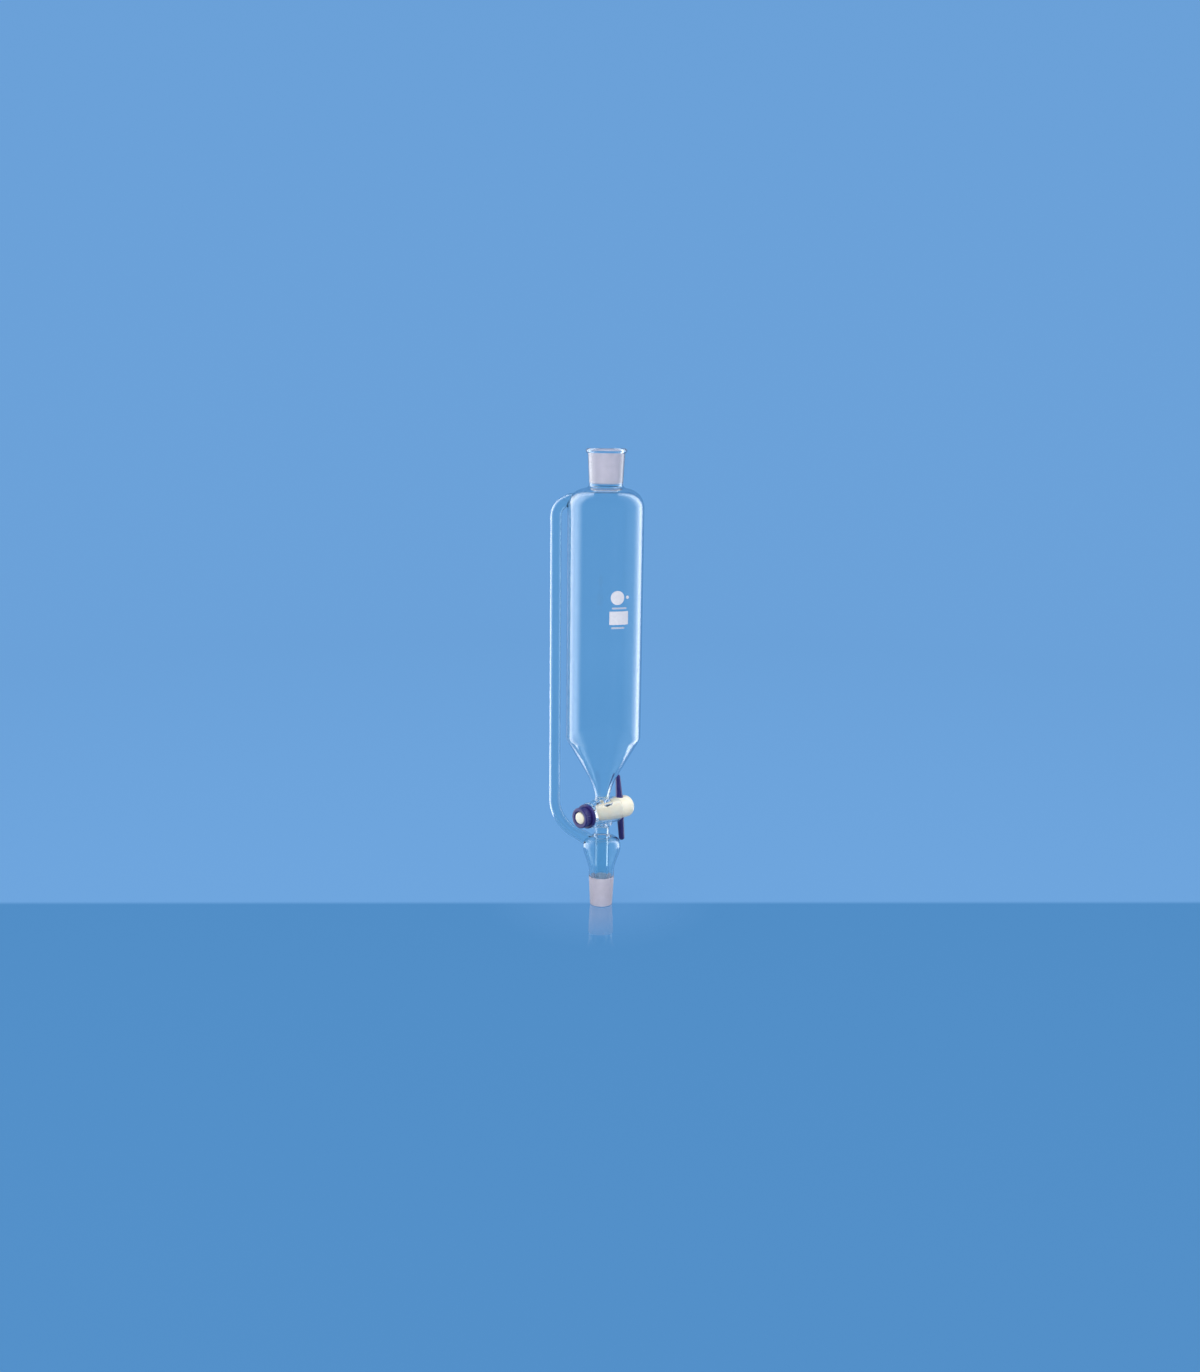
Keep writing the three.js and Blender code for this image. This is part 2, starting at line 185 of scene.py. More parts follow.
def swept(name, points, radii, sides=TUBE_ROUND):
    """A closed round rod along points in the XZ plane, with a radius for each point."""
    mesh = bmesh.new()
    rings = []
    for i, (point, radius) in enumerate(zip(points, radii)):
        before = points[max(i - 1, 0)]
        after = points[min(i + 1, len(points) - 1)]
        along = (after - before).normalized()
        across = Vector((along.z, 0, -along.x))
        ring = []
        for k in range(sides):
            angle = 2 * math.pi * k / sides
            spot = point + radius * (math.cos(angle) * across + Vector((0, math.sin(angle), 0)))
            ring.append(mesh.verts.new(spot))
        rings.append(ring)
    for lower, upper in zip(rings, rings[1:]):
        for k in range(sides):
            j = (k + 1) % sides
            mesh.faces.new([lower[k], lower[j], upper[j], upper[k]])
    mesh.faces.new(rings[0])
    mesh.faces.new(rings[-1])
    return finished(name, mesh)


def combined(base, others, operation):
    """Joins others to base or cuts them from it, and removes them."""
    for other in others:
        step = base.modifiers.new("step", "BOOLEAN")
        step.operation = operation
        step.solver = "MANIFOLD"
        step.object = other
    seen = base.evaluated_get(bpy.context.evaluated_depsgraph_get())
    data = bpy.data.meshes.new_from_object(seen)
    data.materials.clear()
    base.modifiers.clear()
    old = base.data
    base.data = data
    bpy.data.meshes.remove(old)
    for other in others:
        bpy.data.meshes.remove(other.data)
    return base


def smoothed(thing, angle):
    """Smooth faces, with a crease where two meet at more than an angle."""
    thing.data.shade_smooth()
    thing.data.set_sharp_from_angle(angle=angle)
    return thing


ON_AXIS = (
    Matrix.Translation((0, 0, AXIS_Z))
    @ Matrix.Rotation(AXIS_TURN, 4, "Z")
    @ Matrix.Rotation(math.radians(90), 4, "Y")
)


# ---- The fused glass -------------------------------------------------------------------------

def vessel_outline(depth):
    """The vessel's face from the stem's seam to the neck, at a depth inside the outer face."""
    centre, height, sweep = THROAT
    sweep += depth
    start = math.asin((SEAM_Z - height) / sweep)
    corner_z = CONE_CORNER_Z + CORNER_ROUNDING * math.tan(CONE_ANGLE / 2)
    corner_x = BODY_RADIUS - CORNER_ROUNDING
    shoulder_x = BODY_RADIUS - SHOULDER_ROUNDING
    neck_x = SOCKET_OUTSIDE[0] + NECK_FILLET
    turn = math.pi + SHOULDER_REACH
    return [
        *arc(centre, height, sweep, math.pi - start, math.pi - CONE_ANGLE, 12),
        *arc(corner_x, corner_z, CORNER_ROUNDING - depth, -CONE_ANGLE, 0, 8),
        *arc(shoulder_x, SHOULDER_Z, SHOULDER_ROUNDING - depth, 0, SHOULDER_REACH, 20),
        *arc(neck_x, NECK_Z, NECK_FILLET + depth, turn, math.pi, 8),
    ]


def bulb_outline(depth):
    """The vapour bulb's face from its neck to the top of its dome."""
    neck = CONE_RADIUS - depth
    points = []
    for i in range(17):
        share = i / 16
        swell = (BULB_RADIUS - CONE_RADIUS) * (1 - math.cos(math.pi * share)) / 2
        points.append((neck + swell, BULB_NECK_Z + (BULB_Z - BULB_NECK_Z) * share))
    reach = BULB_RADIUS - DOME_CENTRE - depth
    for x, z in arc(0, 0, 1, 0, DOME_REACH, 14)[1:]:
        points.append((DOME_CENTRE + reach * x, BULB_Z + (DOME_RISE - depth) * z))
    return points


def upper_outside():
    """The vessel and the socket as one filled body, from inside the barrel to the rim."""
    fillet = 0.004
    stem = vessel_outline(0)[0][0]
    foot = arc(stem + fillet, SEAM_Z - 0.0008, fillet, math.radians(258), math.pi, 10)
    bead = BEAD_RADIUS - BEAD_SECTION
    rim = arc(bead, RIM_Z - BEAD_SECTION, BEAD_SECTION, math.radians(-75), math.pi / 2, 14)
    low_wall, high_wall = SOCKET_OUTSIDE
    neck = [(low_wall, NECK_Z + 0.001), (high_wall, RIM_Z - 0.0062), (high_wall + 0.0001, RIM_Z - 0.005)]
    outline = [(0, AXIS_Z), (foot[0][0] + 0.0002, AXIS_Z), *foot, *vessel_outline(0), *neck, *rim]
    return revolved("upper_outside", [*outline, (0, RIM_Z)])


def lower_outside():
    """The lower stem, the vapour bulb and the ground cone as one filled body."""
    fillet = 0.0034
    collar = arc(STEM_RADIUS + fillet, 0.0762, fillet, math.pi, math.radians(103), 10)
    seal = arc(STEM_RADIUS + 0.0042, SEAL_Z + 0.0006, 0.0042, math.radians(248), math.pi, 8)
    outline = [
        (0, 0),
        (CONE_FOOT - 0.0005, 0),
        (CONE_FOOT - 0.0001, 0.00015),
        (CONE_FOOT, CONE_GROUND[0]),
        (CONE_RADIUS, CONE_TOP_Z - CONE_GROUND[1]),
        (CONE_RADIUS, CONE_TOP_Z),
        *bulb_outline(0),
        *seal,
        *collar,
        (collar[-1][0] + 0.0002, AXIS_Z - 0.005),
        (0, AXIS_Z - 0.005),
    ]
    return revolved("lower_outside", outline)


def barrel_outside():
    inset = BARREL_RADIUS - BARREL_ROUNDING
    straight = BARREL_HALF - BARREL_ROUNDING
    outline = [
        (0, -BARREL_HALF),
        *arc(inset, -straight, BARREL_ROUNDING, -math.pi / 2, 0, 8),
        *arc(inset, straight, BARREL_ROUNDING, 0, math.pi / 2, 8),
        (0, BARREL_HALF),
    ]
    return revolved("barrel_outside", outline, FINE_ROUND, ON_AXIS)


def upper_hollow():
    """From the key's hole up through the vessel and out of the socket."""
    low_bore, high_bore = SOCKET_BORE
    inner = vessel_outline(BODY_WALL)
    outline = [
        (0, AXIS_Z),
        (PORT_RADIUS, AXIS_Z),
        (PORT_RADIUS, AXIS_Z + 0.0108),
        (PORT_RADIUS + 0.0008, AXIS_Z + 0.0122),
        (THROAT_BORE - 0.0004, AXIS_Z + 0.0138),
        *inner,
        (low_bore, NECK_Z + SOCKET_GROUND[0]),
        (high_bore - 0.00025, RIM_Z - SOCKET_GROUND[1]),
        (high_bore, RIM_Z - 0.0012),
        (high_bore + 0.0002, RIM_Z - 0.0005),
        (high_bore + 0.0006, RIM_Z),
        (high_bore + 0.0012, RIM_Z + 0.002),
        (0, RIM_Z + 0.002),
    ]
    return revolved("upper_hollow", outline)


def drip_hollow():
    """From the key's hole down through the drip tube."""
    outline = [
        (0, TIP_Z - 0.002),
        (0.0028, TIP_Z - 0.002),
        (0.0028, TIP_Z + 0.002),
        (0.0034, TIP_Z + 0.006),
        (0.0044, TIP_Z + 0.0125),
        (STEM_BORE, TIP_Z + 0.018),
        (STEM_BORE, AXIS_Z - 0.0148),
        (STEM_BORE - 0.0006, AXIS_Z - 0.0135),
        (PORT_RADIUS + 0.0006, AXIS_Z - 0.0118),
        (PORT_RADIUS, AXIS_Z - 0.0104),
        (PORT_RADIUS, AXIS_Z),
        (0, AXIS_Z),
    ]
    return revolved("drip_hollow", outline)


def vapour_hollow():
    """The space round the drip tube, open at the cone's foot."""
    dome = bulb_outline(BULB_WALL)
    crown = arc(0.0086, 0.0648, 0.0016, math.radians(60), math.pi, 8)
    outline = [
        (0, -0.002),
        (CONE_FOOT - CONE_WALL - 0.0001, -0.002),
        (CONE_FOOT - CONE_WALL, 0.0006),
        (CONE_RADIUS - CONE_WALL, CONE_TOP_Z),
        *dome,
        *crown,
        (STEM_RADIUS, TIP_Z + 0.019),
        (STEM_RADIUS - 0.0003, TIP_Z + 0.0155),
        (0.0050, TIP_Z + 0.003),
        (0.0045, TIP_Z + 0.0006),
        (0.0041, TIP_Z),
        (0, TIP_Z),
    ]
    return revolved("vapour_hollow", outline)


def key_hollow():
    """The tapered hole for the key, with a small round-over at both ends."""
    nut_side, head_side = BARREL_BORE
    edge = 0.0006
    outline = [
        (0, -BARREL_HALF - 0.002),
        (nut_side + 0.002, -BARREL_HALF - 0.002),
        (nut_side + edge, -BARREL_HALF),
        (nut_side, -BARREL_HALF + edge),
        (head_side, BARREL_HALF - edge),
        (head_side + edge, BARREL_HALF),
        (head_side + 0.002, BARREL_HALF + 0.002),
        (0, BARREL_HALF + 0.002),
    ]
    return revolved("key_hollow", outline, FINE_ROUND, ON_AXIS)


def arm_points():
    """The side arm's centre line, from inside the shoulder to inside the vapour bulb."""
    top_bend, top_turn = ARM_TOP_BEND
    low_bend, low_turn = ARM_LOW_BEND
    top = arc(ARM_X + top_bend, ARM_TOP_Z, top_bend, math.pi - top_turn, math.pi, 24)
    bottom = arc(ARM_X + low_bend, ARM_LOW_Z, low_bend, math.pi, math.pi + low_turn, 30)
    start, end = top[0], bottom[-1]
    into_top = [
        (start[0] + run * math.sin(top_turn), start[1] + run * math.cos(top_turn))
        for run in steps_down(ARM_TOP_RUN)
    ]
    into_bulb = [
        (end[0] + run * math.sin(low_turn), end[1] - run * math.cos(low_turn))
        for run in reversed(steps_down(ARM_LOW_RUN))
    ]
    return [Vector((x, 0, z)) for x, z in [*into_top, *top, *bottom, *into_bulb]]


def steps_down(length, count=14):
    """Distances from a length down to just above nothing."""
    return [length * (count - i) / count for i in range(count)]


ARM_SEALS = (0.0145, 0.0060)  # how far in from each end the tube is fused to the vessel
ARM_SEAL_SPREAD = 0.0032
ARM_FLARE = 0.0009
ARM_BORE_FLARE = 0.0004


def arm_radii(points, radius, flare):
    """A radius for each point: the tube's, swollen a little where it is fused on at each end."""
    along = [0.0]
    for a, b in zip(points, points[1:]):
        along.append(along[-1] + (b - a).length)
    radii = []
    for far in along:
        from_end = min(far - ARM_SEALS[0], along[-1] - far - ARM_SEALS[1], key=abs)
        radii.append(radius + flare * math.exp(-((from_end / ARM_SEAL_SPREAD) ** 2)))
    return radii


def build_glass():
    points = arm_points()
    tube = swept("arm_outside", points, arm_radii(points, ARM_RADIUS, ARM_FLARE))
    bore = swept("arm_bore", points, arm_radii(points, ARM_BORE, ARM_BORE_FLARE))
    glass = combined(upper_outside(), [lower_outside(), barrel_outside(), tube], "UNION")
    hollows = [upper_hollow(), drip_hollow(), vapour_hollow(), key_hollow(), bore]
    glass = combined(glass, hollows, "DIFFERENCE")
    glass.name = "fused_glass"
    glass.data.name = "fused_glass"
    return smoothed(glass, math.radians(38))


def is_ground(face):
    """Whether a face of the glass lies on the socket's or the cone's ground part."""
    centre = face.center
    radius = math.hypot(centre.x, centre.y)
    outward = face.normal.x * centre.x + face.normal.y * centre.y > 0
    socket = NECK_Z + SOCKET_GROUND[0] < centre.z < RIM_Z - SOCKET_GROUND[1]
    cone = CONE_GROUND[0] < centre.z < CONE_TOP_Z - CONE_GROUND[1]
    return (socket and not outward and radius < SOCKET_BORE[1]) or (
        cone and outward and radius > CONE_FOOT - 0.0002
    )


def is_barrel(face):
    """Whether a face of the glass lies on the stopcock's barrel."""
    return abs(face.center.z - AXIS_Z) < BARREL_RADIUS + 0.001 and face.center.x > -0.02


# ---- The stopcock's key and what is on it ----------------------------------------------------

HEAD_START = 0.0179
HEAD_END = 0.0355
HEAD_ROUNDING = 0.0040
TAIL_RADIUS = 0.0058
TAIL_END = -0.0302
THREAD_PITCH = 0.002
THREAD_DEPTH = 0.00045
THREAD_STEP = 0.00013  # height of one ring of the tail's mesh
THREAD_SPAN = (TAIL_END + 0.0005, -BARREL_HALF - 0.0012)
KEY_BORE = 0.002
RING_PLAY = 0.00025  # between the tail and the rings on it
WASHER = (-0.0187, -0.0178)  # its two faces
WASHER_RADIUS = 0.0088
O_RING_AT = -0.0200
O_RING_SECTION = (0.0075, 0.0010)  # the radius of the ring and of its section
COLLAR = (-0.0223, -0.0213, -0.0189)  # its outer face, the floor of its cup, and the cup's lip
COLLAR_CUP = 0.0091
NUT = (-0.0302, -0.0226)  # its two faces
NUT_FLUTES = 24
NUT_FLUTE_DEPTH = 0.00045
KEY_TILT = math.radians(6)  # the key stands a little short of fully open
LEVER_AT = 0.024
LEVER_HALF = 0.032
LEVER_MIDDLE = 0.0037
LEVER_TIPS = (0.0028, 0.0023)  # the lower and the upper end


def on_key(along):
    """Places an upright shape on the tilted key, at a distance along the stopcock's axis."""
    spot = Matrix.Rotation(AXIS_TURN, 4, "Z") @ Matrix.Translation((along, 0, AXIS_Z))
    return spot @ Matrix.Rotation(-KEY_TILT, 4, "X")


def thread(radius, height, angle):
    """The radius of the threaded tail at a place, and of the plain key elsewhere."""
    if radius > TAIL_RADIUS or not THREAD_SPAN[0] < height < THREAD_SPAN[1]:
        return radius
    turn = (height / THREAD_PITCH - angle / (2 * math.pi)) % 1
    tooth = min(1, max(0, 1.6 - 3.2 * abs(2 * turn - 1)))
    return radius - THREAD_DEPTH * (1 - tooth)


def build_key():
    nut_side, head_side = (radius - KEY_PLAY for radius in BARREL_BORE)
    neck = head_side - 0.0006
    tail_start = TAIL_END + 0.0008
    tail_steps = 1 + int((-BARREL_HALF - 0.0004 - tail_start) / THREAD_STEP)
    outline = [
        (0, TAIL_END),
        (TAIL_RADIUS - 0.0012, TAIL_END),
        (TAIL_RADIUS - 0.0006, TAIL_END + 0.0003),
        *[(TAIL_RADIUS, tail_start + THREAD_STEP * i) for i in range(tail_steps)],
        (nut_side - 0.0001, -BARREL_HALF),
        (nut_side, -BARREL_HALF + 0.0004),
        (head_side, BARREL_HALF - 0.0010),
        (neck, BARREL_HALF - 0.0004),
        (neck, HEAD_START - 0.0001),
        (HEAD_RADIUS - 0.0008, HEAD_START),
        *arc(HEAD_RADIUS - 0.0006, HEAD_START + 0.0006, 0.0006, -math.pi / 2, 0, 5),
        *arc(HEAD_RADIUS - HEAD_ROUNDING, HEAD_END - HEAD_ROUNDING, HEAD_ROUNDING, 0, math.pi / 2, 12),
        (0.003, HEAD_END),
        (0.0022, HEAD_END - 0.0005),
        (0, HEAD_END - 0.0006),
    ]
    key = revolved("ptfe_key", outline, FINE_ROUND, ON_AXIS, thread)
    deep = BARREL_RADIUS
    bore = [(0, -deep), (KEY_BORE, -deep), (KEY_BORE, deep), (0, deep)]
    room = LEVER_MIDDLE + 0.00012
    reach = HEAD_RADIUS + 0.002
    hole = [(0, -reach), (room + 0.0013, -reach), (room, -HEAD_RADIUS + 0.0006)]
    hole += [(radius, -height) for radius, height in reversed(hole)]
    cuts = [
        revolved("key_bore", bore, LEVER_ROUND, on_key(0)),
        revolved("lever_hole", hole, LEVER_ROUND, on_key(LEVER_AT)),
    ]
    return smoothed(combined(key, cuts, "DIFFERENCE"), math.radians(35))


def build_lever():
    """The tapered cross lever, with a plain middle that sits in the head and domed ends."""
    dome = 0.0022
    outline = [(0, -LEVER_HALF)]
    for side, tip in zip((-1, 1), LEVER_TIPS):
        half = [(LEVER_MIDDLE, side * (HEAD_RADIUS - 0.0008))]
        half.append((LEVER_MIDDLE - 0.0001, side * (HEAD_RADIUS + 0.0006)))
        half.append((LEVER_MIDDLE - 0.0004, side * (HEAD_RADIUS + 0.0012)))
        for x, z in arc(0, 0, 1, 0, math.pi / 2, 8)[:-1]:
            half.append((tip * x, side * (LEVER_HALF - dome + dome * z)))
        outline += half if side > 0 else reversed(half)
    outline.append((0, LEVER_HALF))
    return smoothed(revolved("cross_lever", outline, LEVER_ROUND, on_key(LEVER_AT)), math.radians(40))


def build_washer():
    bore = TAIL_RADIUS + 0.0002
    start, end = WASHER
    edge = 0.0002
    outline = [
        (bore, end - edge),
        (bore, start + edge),
        (bore + edge, start),
        (WASHER_RADIUS - edge, start),
        (WASHER_RADIUS, start + edge),
        (WASHER_RADIUS, end - edge),
        (WASHER_RADIUS - edge, end),
        (bore + edge, end),
    ]
    return smoothed(revolved("ptfe_washer", outline, FINE_ROUND, ON_AXIS), math.radians(60))


def build_o_ring():
    ring, radius = O_RING_SECTION
    section = arc(ring, O_RING_AT, radius, 0, 2 * math.pi, 20)[:-1]
    return revolved("rubber_o_ring", section, FINE_ROUND, ON_AXIS)


def build_collar():
    """The shallow cup round the O-ring, with a rounded flange."""
    start, floor, end = COLLAR
    bore = TAIL_RADIUS + RING_PLAY
    rounding = 0.0008
    inset = COLLAR_RADIUS - rounding
    outline = [
        (bore, start + 0.0002),
        (bore + 0.0002, start),
        *arc(inset, start + rounding, rounding, -math.pi / 2, 0, 6),
        *arc(inset, end - rounding, rounding, 0, math.pi / 2, 6),
        (COLLAR_CUP + 0.0002, end),
        (COLLAR_CUP, end - 0.0002),
        (COLLAR_CUP, floor),
        (bore, floor),
    ]
    return smoothed(revolved("flanged_collar", outline, FINE_ROUND, ON_AXIS), math.radians(40))


def build_nut():
    """The tension nut: a fluted grip, a plain outer flange and a chamfered mouth."""
    start, end = NUT
    bore = TAIL_RADIUS + RING_PLAY
    face = NUT_RADIUS
    grip_low, grip_high = start + 0.0022, end - 0.0004

    def fluted(radius, height, angle):
        if radius < NUT_RADIUS - 0.0006 or not grip_low <= height <= grip_high:
            return radius
        return radius - NUT_FLUTE_DEPTH * (0.5 - 0.5 * math.cos(NUT_FLUTES * angle)) ** 2

    outline = [
        (bore, end - 0.0003),
        (bore, start + 0.0008),
        (bore + 0.0007, start + 0.0001),
        (face - 0.0012, start),
        *arc(face - 0.0008, start + 0.0008, 0.0008, math.radians(-80), 0, 6),
        (face, start + 0.0016),
        (face - 0.00025, start + 0.0019),
        (face - 0.00025, grip_low),
        (face - 0.0002, (grip_low + grip_high) / 2),
        (face - 0.00025, grip_high),
        (face - 0.0007, end),
        (bore + 0.0003, end),
    ]
    nut = revolved("tension_nut_detailed", outline, NUT_ROUND, ON_AXIS, fluted)
    return smoothed(nut, math.radians(40))


# ---- The enamel marks ------------------------------------------------------------------------

ENAMEL = 0.0003  # its thickness
MARK_LIFT = 0.00004
CORNER = 0.0005  # rounding of the oblong marks' corners


def bent_plate(name, outline, turn, height):
    """A thin plate of enamel on the vessel. The outline gives arc length and height in order."""
    mesh = bmesh.new()
    count = len(outline)
    layers = []
    for radius in (BODY_RADIUS + MARK_LIFT, BODY_RADIUS + MARK_LIFT + ENAMEL):
        ring = []
        for along, up in outline:
            angle = math.radians(turn - 90) + along / BODY_RADIUS
            x, y = radius * math.cos(angle), radius * math.sin(angle)
            ring.append(mesh.verts.new((x, y, height + up)))
        layers.append(ring)
    for ring in layers:
        filled = mesh.faces.new(ring)
        bmesh.ops.triangulate(mesh, faces=[filled])
    for i in range(count):
        j = (i + 1) % count
        mesh.faces.new([layers[0][i], layers[0][j], layers[1][j], layers[1][i]])
    return smoothed(finished(name, mesh), math.radians(40))


def oblong(width, height, rounding, steps=24):
    """A rectangle with rounded corners, with its long sides in short steps so that it can bend."""
    points = []
    for corner in range(4):
        side_x = 1 if corner in (0, 3) else -1
        side_z = 1 if corner in (0, 1) else -1
        middle = (side_x * (width / 2 - rounding), side_z * (height / 2 - rounding))
        start = corner * math.pi / 2
        points += arc(*middle, rounding, start, start + math.pi / 2, 4)
        if corner in (0, 2):
            run = width - 2 * rounding
            points += [
                (middle[0] - side_x * run * i / steps, side_z * height / 2) for i in range(1, steps)
            ]
    return points


def disc(radius, steps=48):
    return arc(0, 0, radius, 0, 2 * math.pi, steps)[:-1]


def build_marks():
    """Plain marks with no lettering: a disc, a dot, a write-on patch and two bars."""
    return {
        "mark_disc": bent_plate("enamel_disc", disc(0.0063), 19, 0.299),
        "mark_dot": bent_plate("enamel_dot", disc(0.0015), 35, 0.2993),
        "mark_patch": bent_plate("enamel_patch", oblong(0.018, 0.012, CORNER), 21.7, 0.2808),
        "upper_mark_bar": bent_plate("enamel_upper_bar", oblong(0.014, 0.0016, CORNER), 22, 0.2896),
        "lower_mark_bar": bent_plate("enamel_lower_bar", oblong(0.0125, 0.0016, CORNER), 20, 0.2719),
    }


# ---- Materials -------------------------------------------------------------------------------

class Material:
    """A node material with a Principled shader and short ways to feed it."""

    def __init__(self, name, **values):
        self.data = bpy.data.materials.new(name)
        self.data.use_nodes = True
        self.nodes = self.data.node_tree.nodes
        self.links = self.data.node_tree.links
        self.shader = self.nodes["Principled BSDF"]
        for key, value in values.items():
            self.shader.inputs[key.replace("_", " ")].default_value = value

    def node(self, kind, **values):
        made = self.nodes.new(kind)
        for key, value in values.items():
            name = key.replace("_", " ")
            if name in made.inputs:
                made.inputs[name].default_value = value
            else:
                setattr(made, key, value)
        return made

    def noise(self, scale, detail):
        spot = self.node("ShaderNodeTexCoord")
        texture = self.node("ShaderNodeTexNoise", Scale=scale, Detail=detail)
        self.links.new(spot.outputs["Object"], texture.inputs["Vector"])
        return texture.outputs["Fac"]

    def ramp(self, source, stops):
        made = self.node("ShaderNodeValToRGB")
        elements = made.color_ramp.elements
        while len(elements) < len(stops):
            elements.new(0.5)
        for element, (spot, colour) in zip(elements, stops):
            element.position = spot
            element.color = (*colour, 1) if isinstance(colour, tuple) else (colour, colour, colour, 1)
        self.links.new(source, made.inputs["Fac"])
        return made.outputs["Color"]

    def rise(self, source, span, result=(0, 1)):
        """Goes from one result to the other as a source goes along a span."""
        made = self.node("ShaderNodeMapRange")
        for socket, value in zip(("From Min", "From Max", "To Min", "To Max"), (*span, *result)):
            made.inputs[socket].default_value = value
        self.links.new(source, made.inputs["Value"])
        return made.outputs["Result"]

    def mixed(self, share, source, colour):
        """One colour from a source and one plain colour, by share."""
        made = self.node("ShaderNodeMix", data_type="RGBA")
        self.links.new(share, made.inputs[0])
        self.links.new(source, made.inputs[6])
        made.inputs[7].default_value = (*colour, 1)
        return made.outputs[2]

    def mottled(self, scale, detail, dark, light):
        """Gives the base colour a faint mottling between two tones."""
        self.feed(self.ramp(self.noise(scale, detail), [(0.3, dark), (0.7, light)]), "Base Color")

    def worn(self, scale, detail, smooth, rough):
        """Lets the roughness vary a little."""
        self.feed(self.ramp(self.noise(scale, detail), [(0.3, smooth), (0.7, rough)]), "Roughness")

    def feed(self, source, socket):
        self.links.new(source, self.shader.inputs[socket])

    def bump(self, source, distance, strength=1.0):
        made = self.node("ShaderNodeBump", Strength=strength, Distance=distance)
        self.links.new(source, made.inputs["Height"])
        self.links.new(made.outputs["Normal"], self.shader.inputs["Normal"])

    def show(self, share, first, second):
        """Makes the surface a mix of two shaders."""
        mix = self.node("ShaderNodeMixShader")
        self.links.new(share, mix.inputs["Fac"])
        self.links.new(first, mix.inputs[1])
        self.links.new(second, mix.inputs[2])
        self.links.new(mix.outputs["Shader"], self.nodes["Material Output"].inputs["Surface"])

    def let_light_through(self, share):
        """Shadow rays pass straight through, as light does through thin glass."""
        path = self.node("ShaderNodeLightPath")
        clear = self.node("ShaderNodeBsdfTransparent", Color=(share, share, share, 1))
        self.show(path.outputs["Is Shadow Ray"], self.shader.outputs["BSDF"], clear.outputs["BSDF"])


GLASS_IOR = 1.474  # borosilicate


def clear_glass(name, clear):
    """Clear glass with painted shade at its edges: the base colour turns dark blue-grey where the
    surface is seen edge-on, a painted dark outline.
    """
    made = Material(name, IOR=GLASS_IOR, Roughness=0.0)
    made.shader.inputs["Transmission Weight"].default_value = 1.0
    rim = made.node("ShaderNodeLayerWeight", Blend=0.5)
    # painted shade: the dark blue-grey that the base colour takes on towards grazing angles, drawn as a
    # dark outline along every edge of the glass
    edge = (0.22, 0.34, 0.44)
    made.feed(made.ramp(rim.outputs["Facing"], [(0.55, clear), (0.84, edge)]), "Base Color")
    made.let_light_through(0.93)
    return made.data


def ground_glass():
    made = Material("ground_borosilicate", IOR=GLASS_IOR, Sheen_Weight=0.35, Sheen_Roughness=0.4)
    made.shader.inputs["Transmission Weight"].default_value = 0.3
    made.mottled(160, 4, (0.69, 0.63, 0.70), (0.77, 0.70, 0.78))
    made.worn(700, 3, 0.50, 0.66)
    made.bump(made.noise(9000, 2), 0.00004, 0.5)
    made.let_light_through(0.6)
    return made.data


def ptfe():
    made = Material("ptfe", IOR=1.38)
    made.mottled(140, 5, (0.97, 0.87, 0.68), (0.99, 0.93, 0.78))
    made.worn(900, 3, 0.34, 0.5)
    made.shader.inputs["Subsurface Weight"].default_value = 0.35
    made.shader.inputs["Subsurface Radius"].default_value = (0.004, 0.0034, 0.0028)
    made.shader.inputs["Subsurface Scale"].default_value = 0.5
    made.bump(made.noise(2500, 2), 0.00002, 0.4)
    return made.data


def blue_plastic():
    made = Material("violet_blue_plastic", IOR=1.5)
    made.mottled(180, 4, (0.020, 0.014, 0.105), (0.034, 0.024, 0.150))
    made.worn(1200, 3, 0.26, 0.40)
    made.bump(made.noise(5000, 2), 0.00002, 0.5)
    return made.data


def rubber():
    made = Material("nitrile_rubber", IOR=1.52)
    made.mottled(400, 4, (0.012, 0.012, 0.014), (0.028, 0.028, 0.03))
    made.worn(1500, 2, 0.5, 0.68)
    made.bump(made.noise(4000, 2), 0.00003, 0.5)
    return made.data


def enamel(name, cover):
    made = Material(name, IOR=1.5, Alpha=cover)
    made.mottled(600, 5, (0.66, 0.66, 0.72), (0.74, 0.74, 0.80))
    made.worn(1800, 3, 0.38, 0.6)
    made.bump(made.noise(6000, 3), 0.00003, 0.6)
    return made.data


# ---- The piece list --------------------------------------------------------------------------

GLASS_NODES = [
    "top_socket", "vessel_shoulder", "vessel_cylinder", "vessel_cone", "side_arm",
    "stopcock_barrel", "vapour_bulb", "drip_tube", "ground_cone",
]


pieces = []


def place(piece, body, slot, material, *nodes):
    pieces.append(piece)
    piece.data.materials.append(material)
    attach(piece, body)
    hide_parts(*nodes)


def build_object():
    glass = build_glass()
    tube = clear_glass("clear_borosilicate", (0.85, 0.935, 0.95))
    place(glass, "glass", "clear_glass", tube, *GLASS_NODES)
    glass.data.materials.append(ground_glass())
    glass.data.materials.append(clear_glass("stopcock_borosilicate", (0.98, 0.99, 0.985)))
    for face in glass.data.polygons:
        face.material_index = 1 if is_ground(face) else 2 if is_barrel(face) else 0
    solid, thin = enamel("white_enamel", 1.0), enamel("thin_enamel", 0.45)
    for node, mark in build_marks().items():
        place(mark, "glass", "enamel", thin if "bar" in node else solid, node)
    fluoropolymer, plastic = ptfe(), blue_plastic()
    place(build_key(), "key", "ptfe", fluoropolymer, "stopcock_key")
    place(build_lever(), "key", "blue_plastic", plastic, "key_lever")
    place(build_washer(), "key", "ptfe", fluoropolymer, "seal_washer")
    place(build_o_ring(), "key", "rubber", rubber(), "seal_o_ring")
    place(build_collar(), "collar", "blue_plastic", plastic, "pressure_collar")
    place(build_nut(), "nut", "blue_plastic", plastic, "tension_nut")


# ---- Stage, lights and camera ----------------------------------------------------------------

